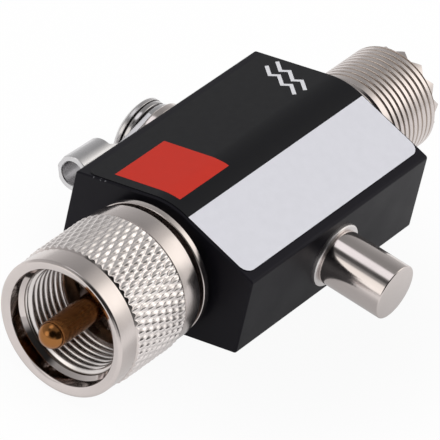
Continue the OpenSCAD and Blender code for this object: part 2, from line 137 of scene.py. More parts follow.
def turned(profile, place, segments=128, closed=True):
    """A profile of (r, a) points turned about an axis, as (vertices, faces)."""
    profile = np.asarray(profile, float)
    turn = np.linspace(0, 2 * math.pi, segments, endpoint=False)
    verts = np.stack(place(profile[:, :1], profile[:, 1:], turn[None]), -1).reshape(-1, 3)
    return verts, grid_faces(len(profile), segments, closed_rows=closed)


def smooth_step(t):
    t = np.clip(t, 0, 1)
    return t * t * (3 - 2 * t)


def thread(
    place, a0, a1, crest_r, root_r, end_r, pitch, crest=0.3, root=0.14, segments=224, per_turn=14, limit=None
):
    """A right-hand screw thread between two places on an axis.

    The rows of the grid follow the helix. crest and root are flats, as shares of the pitch. At an end
    the thread fades into the radius end_r, or, where that is None, limit(r, a) cuts it off.
    """
    straight, fade = 0.7, 0.7 * pitch
    rows = int(math.ceil((a1 - a0) / pitch + 1)) * per_turn + 1
    j, i = np.meshgrid(np.arange(rows), np.arange(segments), indexing="ij")
    raw = a0 + (j / per_turn - 1 + i / segments) * pitch
    off = np.abs((j / per_turn + 0.5) % 1 - 0.5)
    flank = np.clip((off - crest / 2) / (0.5 - crest / 2 - root / 2), 0, 1)
    r = crest_r + (root_r - crest_r) * (straight * flank + (1 - straight) * smooth_step(flank))
    for radius, way in ((end_r[0], raw - a0), (end_r[1], a1 - raw)):
        if radius is not None:
            r = radius + (r - radius) * smooth_step(way / fade)
    a = np.clip(raw, a0, a1)
    if limit:
        r = limit(r, a)
    verts = np.stack(place(r, a, 2 * math.pi * i / segments), -1).reshape(-1, 3)
    faces = []
    for row in range(rows - 1):
        for k in range(segments):
            far = [(row, k + 1), (row + 1, k + 1)]
            if k + 1 == segments:
                far = [(min(row + per_turn, rows - 1), 0), (min(row + 1 + per_turn, rows - 1), 0)]
            corners = [(row, k), far[0], far[1], (row + 1, k)]
            faces.append([a * segments + b for a, b in corners])
    return verts, faces


def joined(*parts):
    """Several (vertices, faces) as one."""
    verts, faces, base = [], [], 0
    for v, f in parts:
        verts.append(np.asarray(v, float))
        faces += [[base + k for k in face] for face in f]
        base += len(v)
    return np.concatenate(verts), faces


def make_object(name, part, sharp=32, flat_faces=True):
    """A mesh object from (vertices, faces) in millimetres, smooth apart from edges over sharp degrees."""
    verts, faces = part
    mesh = bpy.data.meshes.new(name)
    mesh.from_pydata((np.asarray(verts) * MM).tolist(), [], faces)
    bm = bmesh.new()
    bm.from_mesh(mesh)
    bmesh.ops.remove_doubles(bm, verts=bm.verts, dist=1e-7)
    bmesh.ops.dissolve_degenerate(bm, edges=bm.edges, dist=1e-8)
    bmesh.ops.recalc_face_normals(bm, faces=bm.faces)
    bm.to_mesh(mesh)
    bm.free()
    obj = bpy.data.objects.new(name, mesh)
    bpy.context.scene.collection.objects.link(obj)
    finish_shading(obj, sharp, flat_faces)
    return obj


def finish_shading(obj, sharp, flat_faces):
    """Smooth shading with sharp edges; flat_faces keeps large flats flat beside their fillets."""
    obj.data.shade_smooth()
    obj.data.set_sharp_from_angle(angle=math.radians(sharp))
    if flat_faces and not any(m.type == "WEIGHTED_NORMAL" for m in obj.modifiers):
        modifier = obj.modifiers.new("flat_faces", "WEIGHTED_NORMAL")
        modifier.keep_sharp = True


def cut(obj, *cutters, sharp=32):
    """Subtracts cutters, each (vertices, faces), from an object and drops them."""
    for number, part in enumerate(cutters):
        tool = make_object(f"{obj.name}_cutter_{number}", part, flat_faces=False)
        modifier = obj.modifiers.new("cut", "BOOLEAN")
        modifier.operation = "DIFFERENCE"
        modifier.solver = "EXACT"
        modifier.object = tool
        bpy.context.view_layer.update()
        evaluated = obj.evaluated_get(bpy.context.evaluated_depsgraph_get())
        mesh = bpy.data.meshes.new_from_object(evaluated)
        obj.modifiers.remove(modifier)
        obj.data = mesh
        bpy.data.objects.remove(tool)
    finish_shading(obj, sharp, flat_faces=True)
    return obj


def dress(obj, body, material, slot, *nodes):
    """Gives a piece its finish and its body, and hides the CAD nodes that it stands for."""
    obj.data.materials.clear()
    obj.data.materials.append(material)
    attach(obj, body)
    if nodes:
        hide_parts(*nodes)
    return obj


# Materials


def plug(tree, socket, value):
    """Links a socket to another node's output, or sets it to a constant."""
    if isinstance(value, bpy.types.NodeSocket):
        tree.links.new(value, socket)
    else:
        socket.default_value = value


def add_node(tree, kind, inputs=None, **settings):
    """A new node with its settings, and links or constants on its inputs."""
    node = tree.nodes.new(kind)
    for key, value in settings.items():
        setattr(node, key, value)
    for socket, value in (inputs or {}).items():
        plug(tree, node.inputs[socket], value)
    return node


# Range that most of a noise's values fall in
NOISE_LOW, NOISE_HIGH = 0.3, 0.7


class Shader:
    """A procedural material: a Principled shader and short ways to add nodes to it."""

    def __init__(self, name, **values):
        self.material = bpy.data.materials.new(name)
        self.material.use_nodes = True
        self.tree = self.material.node_tree
        self.principled = self.tree.nodes["Principled BSDF"]
        self.coordinates = self.add("ShaderNodeTexCoord").outputs["Object"]
        for socket, value in values.items():
            self.principled.inputs[socket.replace("_", " ")].default_value = value

    def add(self, kind, inputs=None, **settings):
        return add_node(self.tree, kind, inputs, **settings)

    def stretched(self, x, y, z):
        """Object coordinates times a scale for each axis."""
        scaled = self.add("ShaderNodeVectorMath", {0: self.coordinates, 1: (x, y, z)}, operation="MULTIPLY")
        return scaled.outputs[0]

    def noise(self, scale=1.0, detail=3.0, rough=0.5, stretch=None):
        """Noise in object coordinates, which stretch scales along each axis."""
        vector = self.stretched(*stretch) if stretch else self.coordinates
        inputs = {"Vector": vector, "Scale": scale, "Detail": detail, "Roughness": rough}
        return self.add("ShaderNodeTexNoise", inputs).outputs["Fac"]

    def spread(self, noise, to_low, to_high):
        """A noise as values from to_low to to_high."""
        return self.remap(noise, NOISE_LOW, NOISE_HIGH, to_low, to_high)

    def remap(self, value, low, high, to_low=0.0, to_high=1.0):
        inputs = {"Value": value, "From Min": low, "From Max": high, "To Min": to_low, "To Max": to_high}
        return self.add("ShaderNodeMapRange", inputs, clamp=True).outputs["Result"]

    def math(self, operation, a, b=0.0):
        return self.add("ShaderNodeMath", {0: a, 1: b}, operation=operation).outputs[0]

    def mix(self, share, a, b):
        """A blend of two colours, whose sockets are numbers 6 and 7 of the node."""
        return self.add("ShaderNodeMix", {"Factor": share, 6: a, 7: b}, data_type="RGBA").outputs[2]

    def set(self, socket, value):
        plug(self.tree, self.principled.inputs[socket], value)

    def bump(self, height, strength, depth_mm):
        inputs = {"Height": height, "Strength": strength, "Distance": depth_mm * MM}
        self.set("Normal", self.add("ShaderNodeBump", inputs).outputs["Normal"])


def rgba(r, g, b):
    return (r, g, b, 1.0)


def plated(name, colour, rough, marks=None, mark_strength=0.12, shade=0.9, groove_shade_radii=None, groove_shade_colour=None, dull=0.0):
    """A plated metal with faint lathe or drawing marks, cloudy gloss and a little tarnish.

    Two radii about the connector axis set where painted shade in a thread's grooves begins and is full,
    with a colour for that painted shade, and dull tells how much it roughens the metal.
    """
    shader = Shader(name, Metallic=1.0)
    cloud = shader.noise(260, detail=4)
    gloss = shader.spread(cloud, *rough)
    dark = rgba(*[c * shade for c in colour])
    stain = shader.noise(90, detail=5, rough=0.6)
    tone = shader.mix(shader.remap(stain, 0.35, 0.75), rgba(*colour), dark)
    # Painted shade: a darker colour in a thread's grooves, by radius about the connector axis; the grooves are
    # also roughened
    if groove_shade_radii:
        radius = shader.add("ShaderNodeVectorMath", {0: shader.stretched(0, 1, 1)}, operation="LENGTH")
        groove_shade_share = shader.remap(radius.outputs["Value"], groove_shade_radii[0] * MM, groove_shade_radii[1] * MM)
        tone = shader.mix(groove_shade_share, tone, rgba(*groove_shade_colour))
        gloss = shader.math("ADD", gloss, shader.remap(groove_shade_share, 0, 1, 0, dull))
    shader.set("Base Color", tone)
    shader.set("Roughness", gloss)
    if marks:
        lines = shader.noise(detail=2, stretch=marks)
        shader.bump(lines, mark_strength, 0.01)
    return shader.material


# Noise scales of marks that run round the connector axis, round the cap's axis, and every way
MARKS_X = (9000, 250, 250)
MARKS_Y = (250, 9000, 250)
MARKS_COARSE = (900, 900, 900)
MARKS_WIRE = (700, 700, 700)

# The nickel is written paler or browner where the photograph shows it so: the paler copies are painted light,
# and the browner relief is painted shade with a painted brown reflection
NICKEL_COLOUR = (0.70, 0.635, 0.612)
nickel = plated("nickel_turned", NICKEL_COLOUR, (0.17, 0.27), MARKS_X)
# Painted light and shade: a paler copy of the nickel for the nut's inside thread, with near-black painted shade
# in its grooves
nickel_nut_thread = plated(
    "nickel_nut_thread", (0.82, 0.77, 0.75), (0.20, 0.30), MARKS_X,
    groove_shade_radii=(7.85, 8.02), groove_shade_colour=(0.075, 0.050, 0.035),
)
# Painted shade: a browner, darker colour in the jack thread's grooves, which are also rougher
nickel_jack_thread = plated(
    "nickel_jack_thread", NICKEL_COLOUR, (0.17, 0.27), MARKS_X,
    groove_shade_radii=(7.93, 7.80), groove_shade_colour=(0.62, 0.52, 0.45), dull=0.32,
)
# Painted light: a paler copy of the nickel for the knurl
nickel_knurl = plated("nickel_knurl", (0.95, 0.89, 0.87), (0.20, 0.30), MARKS_X, 0.08)
# Painted shade and painted reflection: a darker, browner copy of the nickel inside the nut's relief
nickel_relief = plated("nickel_relief", (0.60, 0.48, 0.39), (0.20, 0.30), MARKS_X, shade=0.75)
# Painted light: a paler copy of the nickel for the bush's flange
nickel_bush = plated("nickel_bush", (0.90, 0.86, 0.85), (0.28, 0.38), MARKS_Y)
polished = plated("nickel_polished", NICKEL_COLOUR, (0.10, 0.17), MARKS_Y, 0.08)
polished_mouth = plated("nickel_polished_mouth", NICKEL_COLOUR, (0.05, 0.10), MARKS_X, 0.05)
gold = plated("gold_dull", (0.34, 0.145, 0.046), (0.12, 0.18), MARKS_X, 0.08, shade=0.95)
zinc = plated("zinc_bright", (0.68, 0.66, 0.66), (0.26, 0.36), MARKS_COARSE, 0.08)
brass = plated("brass_bare", (0.60, 0.42, 0.16), (0.25, 0.36), MARKS_X, 0.1, shade=0.75)
tin = plated("tin_matt", (0.70, 0.69, 0.70), (0.20, 0.30), MARKS_COARSE, 0.1, shade=0.9)
steel = plated("steel_spring", (0.58, 0.56, 0.56), (0.10, 0.18), MARKS_WIRE, 0.06, shade=0.85)


# A thin satin coat reflects little: its refraction is close to that of air
PAINT_IOR = 1.24
PAINT_SHEEN = rgba(0.94, 0.90, 1.0)
PAINT_ROUGH = (0.36, 0.46)
PAINT_DEEP, PAINT_PALE, PAINT_BARE = (0.0050, 0.0047, 0.0068), (0.0072, 0.0068, 0.0098), (0.13, 0.13, 0.14)
# Chips in the paint: centre and reach
PAINT_CHIPS = [
    ((9.42, 12.2, 6.95), 0.22),
    ((9.42, 11.1, 7.25), 0.30),
    ((9.42, 10.3, 7.47), 0.20),
]


def paint():
    """Satin black paint with a fine orange peel and small chips on the plug end's upper edge."""
    shader = Shader("paint_black", IOR=PAINT_IOR, Specular_Tint=PAINT_SHEEN)
    peel = shader.noise(3200, detail=2)
    shader.bump(peel, 0.12, 0.02)
    cloud = shader.noise(140, detail=4)
    shader.set("Roughness", shader.spread(cloud, *PAINT_ROUGH))
    tone = shader.mix(cloud, rgba(*PAINT_DEEP), rgba(*PAINT_PALE))
    spots = None
    for centre, size in PAINT_CHIPS:
        where = [c * MM for c in centre]
        distance = shader.add("ShaderNodeVectorMath", {0: shader.coordinates, 1: where}, operation="DISTANCE")
        ragged = shader.noise(4200, detail=1)
        edge = shader.math("ADD", distance.outputs["Value"], shader.spread(ragged, 0, size * MM))
        spot = shader.math("LESS_THAN", edge, size * MM)
        spots = spot if spots is None else shader.math("MAXIMUM", spots, spot)
    shader.set("Base Color", shader.mix(spots, tone, rgba(*PAINT_BARE)))
    return shader.material


def print_ink(name, colour, rough, ior, grain=0.04):
    """A flat printed field with a faint mottle."""
    shader = Shader(name, IOR=ior)
    mottle = shader.noise(700, detail=4)
    deep = rgba(*[c * (1 - 2 * grain) for c in colour])
    shader.set("Base Color", shader.mix(mottle, deep, rgba(*colour)))
    shader.set("Roughness", shader.spread(mottle, rough - 0.04, rough + 0.04))
    fibre = shader.noise(2600, detail=2)
    shader.bump(fibre, 0.05, 0.01)
    return shader.material


def moulded(name, colour, rough, mottle_share):
    """A solid insulator with a cloudy tone."""
    shader = Shader(name, IOR=1.4)
    cloud = shader.noise(500, detail=5)
    deep = rgba(*[c * (1 - mottle_share) for c in colour])
    shader.set("Base Color", shader.mix(cloud, deep, rgba(*colour)))
    shader.set("Roughness", shader.spread(cloud, rough - 0.05, rough + 0.05))
    shader.bump(shader.noise(1800), 0.08, 0.02)
    return shader.material


black_paint = paint()
label_black = print_ink("label_black", (0.0070, 0.0070, 0.0085), 0.36, PAINT_IOR)
label_silver = print_ink("label_silver", (0.66, 0.66, 0.71), 0.42, 1.2)
label_red = print_ink("label_red", (0.52, 0.038, 0.026), 0.42, 1.1)
label_white = print_ink("label_white", (0.68, 0.68, 0.71), 0.42, 1.1)
insulator = moulded("insulator_brown", (0.30, 0.155, 0.08), 0.36, 0.3)
ceramic = moulded("ceramic_white", (0.78, 0.76, 0.72), 0.3, 0.06)


# Body


def body_section(offset):
    """Outline of the body in Y and Z, moved outwards by an offset."""
    quarter, edge_points, ridge_points = [], 7, 9
    for a in np.linspace(0, math.pi / 2 - TILT, edge_points):
        reach = EDGE_R + offset
        quarter.append((EDGE_Y + reach * math.cos(a), EDGE_Z + reach * math.sin(a)))
    for a in np.linspace(math.pi / 2 - TILT, math.pi / 2, ridge_points):
        quarter.append(((RIDGE_R + offset) * math.cos(a), (RIDGE_R + offset) * math.sin(a)))
    top = quarter + [(-y, z) for y, z in quarter[-2::-1]]
    return np.array(top + [(-y, -z) for y, z in top])


def body_shell():
    """The hexagonal block with small rounds at both ends, drilled as the CAD body is."""
    rounding, steps = 0.25, 4
    stations = []
    for k in range(steps + 1):
        a = math.pi / 2 * k / steps
        stations.append((BODY_X0 + rounding * (1 - math.sin(a)), rounding * (math.cos(a) - 1)))
    stations = [(x, offset) for x, offset in reversed(stations)]
    stations += [(BODY_X0 + BODY_X1 - x, offset) for x, offset in reversed(stations)]
    rings = []
    for x, offset in stations:
        section = body_section(offset)
        rings.append(np.column_stack([np.full(len(section), x), section]))
    count = len(rings[0])
    faces = grid_faces(len(rings), count)
    faces.append(list(range(count)))
    faces.append([(len(rings) - 1) * count + k for k in range(count)])
    obj = make_object("body_shell", (np.concatenate(rings), faces))
    over = 1
    line = [
        (0, BODY_X0 - over), (TAIL_R, BODY_X0 - over), (TAIL_R, LINE_X0), (LINE_BORE_R, LINE_X0),
        (LINE_BORE_R, LINE_X1), (TAIL_R, LINE_X1), (TAIL_R, BODY_X1 + over), (0, BODY_X1 + over),
    ]
    out = SIDE + over
    chamber = [(0, 0), (CHAMBER_R, 0), (CHAMBER_R, BUSH_DEEP), (BUSH_R, BUSH_DEEP), (BUSH_R, out), (0, out)]
    hole = [(0, SCREW_HOLE_DEEP), (SCREW_HOLE_R, SCREW_HOLE_DEEP), (SCREW_HOLE_R, out), (0, out)]
    cut(obj, turned(line, along_x), turned(chamber, cap_side, 96), turned(hole, ground_side, 64))
    return dress(obj, "housing", black_paint, "black_paint", "body")


# Label

LABEL_T = 0.12
LABEL_X0, LABEL_X1 = BODY_X0 + 0.4, BODY_X1 - 0.4
LABEL_Y = SIDE - 1.4
LABEL_CORNER_R = 1.5
PRINT_LIFT = 0.012


def roof_s(y):
    """Way along the roof from the ridge to a place y, on the body's surface."""
    tangent_y = RIDGE_R * math.sin(TILT)
    if abs(y) <= tangent_y:
        return RIDGE_R * math.asin(y / RIDGE_R)
    return math.copysign(RIDGE_R * TILT + (abs(y) - tangent_y) / math.cos(TILT), y)


def roof_point(x, s, lift):
    """Place above the roof at a way s from the ridge."""
    a = max(-TILT, min(TILT, s / RIDGE_R))
    beyond = s - a * RIDGE_R
    y = (RIDGE_R + lift) * math.sin(a) + beyond * math.cos(a)
    z = (RIDGE_R + lift) * math.cos(a) - abs(beyond) * math.sin(abs(a))
    return x, y, z


def round_corners(corners, steps=6):
    """Outline from (x, y, radius) corners."""
    return [tuple(p) for p in fillet([c if c[2] else c[:2] for c in corners], steps)]


def roof_patch(name, outline, lift, material, thick=0.0):
    """A skin on the roof inside an outline of (x, y) points, with a rim of its own thickness."""
    bm = bmesh.new()
    ring = [bm.verts.new((x, roof_s(y), 0)) for x, y in outline]
    bm.faces.new(ring)
    reach, bends = RIDGE_R * TILT, 15
    for s in np.linspace(-reach, reach, bends):
        geometry = bm.verts[:] + bm.edges[:] + bm.faces[:]
        bmesh.ops.bisect_plane(bm, geom=geometry, dist=1e-6, plane_co=(0, s, 0), plane_no=(0, 1, 0))
    if thick:
        rim = bmesh.ops.extrude_edge_only(bm, edges=[e for e in bm.edges if e.is_boundary])
        for v in rim["geom"]:
            if isinstance(v, bmesh.types.BMVert):
                v.co.z = -thick
    for v in bm.verts:
        v.co = Vector(roof_point(v.co.x, v.co.y, lift + v.co.z)) * MM
    bmesh.ops.recalc_face_normals(bm, faces=bm.faces)
    mesh = bpy.data.meshes.new(name)
    bm.to_mesh(mesh)
    bm.free()
    obj = bpy.data.objects.new(name, mesh)
    bpy.context.scene.collection.objects.link(obj)
    finish_shading(obj, 32, flat_faces=True)
    return dress(obj, "housing", material, "foil")


def stroke(points, width):
    """Outline of a polyline drawn with a pen of a given width, mitred."""
    points = np.array(points, float)
    left, right, sharpest = [], [], 0.35
    for k, p in enumerate(points):
        ways = []
        if k:
            ways.append(p - points[k - 1])
        if k + 1 < len(points):
            ways.append(points[k + 1] - p)
        normals = [np.array([-w[1], w[0]]) / np.linalg.norm(w) for w in ways]
        mitre = sum(normals) / np.linalg.norm(sum(normals))
        reach = width / 2 / max(sharpest, mitre @ normals[0])
        left.append(tuple(p + mitre * reach))
        right.append(tuple(p - mitre * reach))
    return left + right[::-1]


def label():
    """The foil label: a black ground, a silver field, a red square and two plain zigzags."""
    r = LABEL_CORNER_R
    ground = round_corners([
        (LABEL_X0, -LABEL_Y, r), (LABEL_X1, -LABEL_Y, r), (LABEL_X1, LABEL_Y, r), (LABEL_X0, LABEL_Y, r)
    ])
    sheet = roof_patch("label_sheet", ground, LABEL_T, label_black, LABEL_T)
    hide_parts("label")
    lift = LABEL_T + PRINT_LIFT
    field_y = -3.1
    field = round_corners([
        (LABEL_X0, -LABEL_Y, r), (LABEL_X1, -LABEL_Y, r), (LABEL_X1, field_y, 0), (LABEL_X0, field_y, 0)
    ])
    roof_patch("label_silver_field", field, lift, label_silver)
    red_x0, red_x1, red_y0, red_y1 = 11.3, 22.3, -0.4, 10.2
    red = [(red_x0, red_y0), (red_x1, red_y0), (red_x1, red_y1), (red_x0, red_y1)]
    roof_patch("label_red_square", red, lift, label_red)
    forward, back, pen = np.array([-1.95, -1.90]), np.array([0.62, -1.05]), 0.55
    for number, start in enumerate([(47.2, 11.1), (49.0, 10.6)]):
        points = [np.array(start)]
        for step in (forward, back, forward, back, forward):
            points.append(points[-1] + step)
        roof_patch(f"label_zigzag_{number}", stroke(points, pen), lift, label_white)


# Plug


def knurl(x0, x1, foot_r, root_r, crest_r, starts=56, rows=45, fine=12, chamfer_rows=8, slope=0.8):
    """Diamond knurl: two crossing families of grooves, on a grid whose diagonals follow the grooves.

    At both ends a chamfer rises from foot_r with a slope and cuts the diamonds off. Gives the vertices,
    the faces of the diamonds and those of the chamfers.
    """
    columns = starts * fine

    def tri(w):
        """Nearness to the middle between two grooves: 0 on a groove, 1 halfway."""
        return 1 - np.abs(2 * (w % 1) - 1)

    run = (crest_r - foot_r) / slope
    ends = np.linspace(0, run, chamfer_rows + 1)
    step, clear = (x1 - x0) / rows, 0.3
    first, last = math.ceil(run / step + clear), math.floor(rows - run / step - clear)
    way = np.concatenate([ends, np.arange(first, last + 1) * step, x1 - x0 - ends[::-1]])
    row, i = np.meshgrid(way / step, np.arange(columns), indexing="ij")
    height = np.sin(math.pi * ((i + row) / fine % 1)) * np.sin(math.pi * ((i - row) / fine % 1))
    along = row * step
    chamfer = foot_r + slope * np.minimum(along, x1 - x0 - along)
    full = root_r + (crest_r - root_r) * height
    cut_off = (chamfer < full).ravel()
    turn = 2 * math.pi * i / columns
    verts = np.stack(along_x(np.minimum(full, chamfer), x0 + along, turn), -1).reshape(-1, 3)
    bumps, chamfers = [], []
    for k in range(len(way) - 1):
        low = way[k] / step
        for c in range(columns):
            a, b = k * columns + c, k * columns + (c + 1) % columns
            far_b, far_a = b + columns, a + columns
            if tri((c + low + 1) / fine) <= tri((c - low) / fine):
                pair = [[a, b, far_a], [b, far_b, far_a]]
            else:
                pair = [[a, b, far_b], [a, far_b, far_a]]
            for face in pair:
                (chamfers if cut_off[face].sum() > 1 else bumps).append(face)
    return verts, bumps, chamfers


def coupling_nut():
    """Knurled nut with a rounded lip, an inside thread and a relief behind it."""
    band_r, grip_r, root_r, foot_r = 10.1, 10.4, 10.16, 10.02
    grip_x0, grip_x1 = -8.05, 2.65
    lip_x, lip_r, mouth_r, mouth_x = -11.15, 9.75, 8.6, -9.4
    thread_r, groove_r = 7.45, 8.05
    thread_x0, thread_x1 = mouth_x + mouth_r - groove_r, -1.05
    relief_r, wall_x, bore_r = 8.3, 3.5, 6.48
    front_x, rear_x, lip_slope, run_out = -11.6, 5.9, 0.35, 0.6
    segments = 224
    front = fillet([
        (foot_r, grip_x0), (band_r, grip_x0, 0.05), (band_r, front_x + lip_slope, 0.3), (lip_r, front_x, 0.2),
        (mouth_r, lip_x, 0.12), (mouth_r, mouth_x, 0.08), (groove_r, thread_x0),
    ], 6)
    foremost = int(np.argmin(front[:, 1]))
    rear = fillet([
        (bore_r, rear_x, 0.15), (band_r, rear_x, 0.22), (band_r, grip_x1, 0.05), (foot_r, grip_x1)
    ], 5)
    inside = fillet([
        (thread_r, thread_x1), (relief_r, thread_x1 + run_out, 0.15), (relief_r, wall_x, 0.3),
        (bore_r, wall_x, 0.1), (bore_r, rear_x),
    ], 5)
    outer = make_object("coupling_nut_bands", joined(
        turned(front[:foremost + 1], along_x, segments, closed=False),
        turned(rear, along_x, segments, closed=False),
    ), sharp=28, flat_faces=False)
    dress(outer, "nut", nickel, "nickel", "coupling_nut")
    grip, bumps, chamfers = knurl(grip_x0, grip_x1, foot_r, root_r, grip_r)
    for name, part, material in (
        ("coupling_nut_knurl", (grip, bumps), nickel_knurl),
        ("coupling_nut_chamfers", (grip, chamfers), polished_mouth),
        ("coupling_nut_mouth", turned(front[foremost:], along_x, segments, closed=False), polished_mouth),
    ):
        dress(make_object(name, part, flat_faces=False), "nut", material, "nickel")

    def lead_in(r, a):
        """The cone at the mouth cuts the thread's first turn."""
        return np.maximum(r, mouth_r + mouth_x - a)

    screwed = make_object("coupling_nut_thread", thread(
        along_x, thread_x0, thread_x1, thread_r, groove_r, (None, thread_r), COUPLING_PITCH, crest=0.22,
        limit=lead_in,
    ), sharp=28, flat_faces=False)
    dress(screwed, "nut", nickel_nut_thread, "nickel")
    hollow = turned(inside, along_x, segments, closed=False)
    relief = make_object("coupling_nut_relief", hollow, flat_faces=False)
    dress(relief, "nut", nickel_relief, "nickel")


def plug_collar():
    """Flange and hub between the nut and the body."""
    inner, collar_r, hub_r = TAIL_R, 9.9, 8.2
    front, back = 7.0, 8.05
    profile = fillet([
        (inner, front), (collar_r, front, 0.14), (collar_r, back, 0.2), (hub_r, back, 0.1), (hub_r, BODY_X0),
        (inner, BODY_X0),
    ])
    obj = make_object("plug_collar_turned", turned(profile, along_x, 192))
    return dress(obj, "housing", nickel, "nickel", "plug_collar")


def centre_pin():
    """Plated pin with a ball end, seated through the insulator."""
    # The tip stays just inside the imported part's box
    r, tip, shank_x, spigot_r, spigot_x = 1.98, -14.895, 16.0, 1.2, 20.35
    ball = [(r * math.sin(a), tip + r - r * math.cos(a)) for a in np.linspace(0, math.pi / 2, 25)]
    shank = fillet([
        (r, shank_x), (r, LINE_X0, 0.1), (spigot_r, LINE_X0), (spigot_r, spigot_x, 0.2), (0, spigot_x)
    ])
    profile = ball + [tuple(p) for p in shank]
    obj = make_object("centre_pin_ball", turned(profile, along_x, 96), flat_faces=False)
    return dress(obj, "housing", gold, "gold", "centre_pin")


# Jack


def jack():
    """Threaded jack shell with a plain foot and a toothed rim."""
    jack_r, groove_r, rim_r, bore_r = 7.94, 7.64, 7.05, 6.1
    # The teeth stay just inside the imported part's box
    thread_x0, taper_x, valley_x, tip_x = 53.55, 64.05, 64.85, 66.13
    web_x, teeth, fine = 52.25, 14, 16
    tip_turn = math.radians(60.7)
    soft, edge_in, edge_back = 0.14, 0.08, 0.10
    brow_r, brow_x = rim_r + soft * 0.9, valley_x - soft
    taper = (jack_r - brow_r) / (brow_x - taper_x)
    thread_x1 = taper_x + (jack_r - groove_r) / taper
    ditch_r, ditch_x0, ditch_x, ditch_x1 = groove_r - 0.1, thread_x0 - 1.0, thread_x0 - 0.75, thread_x0 - 0.4
    foot = fillet([
        (LINE_BORE_R, LINE_X1), (TAIL_R, LINE_X1), (TAIL_R, BODY_X1), (jack_r, BODY_X1, 0.12),
        (jack_r, ditch_x0, 0.05), (ditch_r, ditch_x, 0.08), (jack_r, ditch_x1, 0.05), (jack_r, thread_x0),
    ])
    columns = teeth * fine
    turn = tip_turn + 2 * math.pi * np.arange(columns) / columns
    phase = np.arange(columns) / fine % 1
    edge_x = valley_x + (tip_x - valley_x) * np.abs(2 * phase - 1)
    level = np.ones(columns)
    rim_rows = [
        (groove_r * level, thread_x1 * level),
        (brow_r * level, brow_x * level),
        (rim_r * level, valley_x * level),
        (rim_r * level, edge_x - edge_back),
        ((rim_r - edge_in) * level, edge_x),
        ((bore_r + edge_in) * level, edge_x),
        (bore_r * level, edge_x - edge_back),
        (bore_r * level, web_x * level),
        (LINE_BORE_R * level, web_x * level),
        (LINE_BORE_R * level, LINE_X1 * level),
    ]
    verts = np.concatenate([np.stack(along_x(r, x, turn), -1) for r, x in rim_rows])
    shell = make_object("jack_toothed", joined(
        turned(foot, along_x, columns, closed=False), (verts, grid_faces(len(rim_rows), columns)),
    ), sharp=30, flat_faces=False)
    dress(shell, "housing", nickel, "nickel", "jack_shell")

    def end_taper(r, a):
        """The taper at the rim cuts the thread's last turn."""
        return np.minimum(r, jack_r - taper * (a - taper_x))

    screwed = make_object("jack_thread", thread(
        along_x, thread_x0, thread_x1, jack_r, groove_r, (jack_r, None), COUPLING_PITCH, crest=0.64, root=0.08,
        limit=end_taper,
    ), sharp=30, flat_faces=False)
    dress(screwed, "housing", nickel_jack_thread, "nickel")


# Cap side


def cap():
    """Polished cap with a threaded skirt and a hollow for the tube and its spring."""
    cap_r, end, skirt_r, skirt_end, bore_r, hollow_end = 4.1, 25.7, 3.5, 10.5, 2.95, 24.2
    plain, point, groove = 0.3, 0.2, 0.32
    thread_d0, thread_d1 = skirt_end + plain, CAP_SEAT - plain
    outer = fillet([
        (0, end), (cap_r, end, 0.18), (cap_r, CAP_SEAT, 0.1), (skirt_r, CAP_SEAT), (skirt_r, thread_d1),
    ])
    inner = fillet([
        (skirt_r, thread_d0), (skirt_r - point, skirt_end), (bore_r, skirt_end), (bore_r, hollow_end),
        (0, hollow_end),
    ])
    obj = make_object("cap_polished", joined(
        turned(outer, cap_side, 192, closed=False),
        turned(inner, cap_side, 96, closed=False),
        thread(
            cap_side, thread_d0, thread_d1, skirt_r, skirt_r - groove, (skirt_r, skirt_r), CAP_PITCH,
            segments=96, per_turn=10,
        ),
    ), sharp=30)
    return dress(obj, "screw_cap", polished, "nickel", "cap")


def cap_bush():
    """Threaded bush whose flange shows as a thin ring under the cap."""
    inner, flange_r = 3.55, 4.81
    profile = fillet([
        (inner, BUSH_DEEP), (BUSH_R, BUSH_DEEP), (BUSH_R, SIDE), (flange_r, SIDE), (flange_r, CAP_SEAT, 0.2),
        (inner, CAP_SEAT, 0.08),
    ])
    obj = make_object("cap_bush_flanged", turned(profile, cap_side, 160))
    return dress(obj, "housing", nickel_bush, "nickel", "cap_bush")


# Ground side


